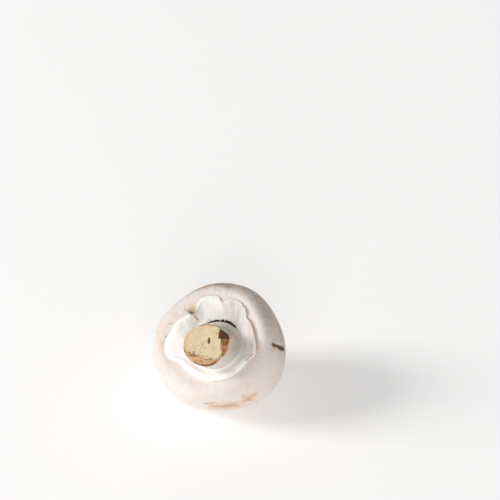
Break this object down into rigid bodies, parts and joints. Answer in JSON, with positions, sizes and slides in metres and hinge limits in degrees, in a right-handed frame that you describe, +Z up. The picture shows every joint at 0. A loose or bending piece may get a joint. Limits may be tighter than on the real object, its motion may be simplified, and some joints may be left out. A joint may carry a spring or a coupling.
{
  "type": "button mushroom",
  "caption": "Closed white button mushroom with a torn veil round its thick cut stalk, lying on its cap with the stalk up.",
  "frame": {"origin": "centre of the bounding box at the surface it lies on", "axes": "+Z up, the stalk rises towards -Y and +Z, +X to the right of someone who looks along +Y"},
  "size_m": [0.0424, 0.0404, 0.0372],
  "materials": {
    "flesh": null
  },
  "bodies": {
    "root": {"mushroom": "flesh"}
  },
  "joints": []
}
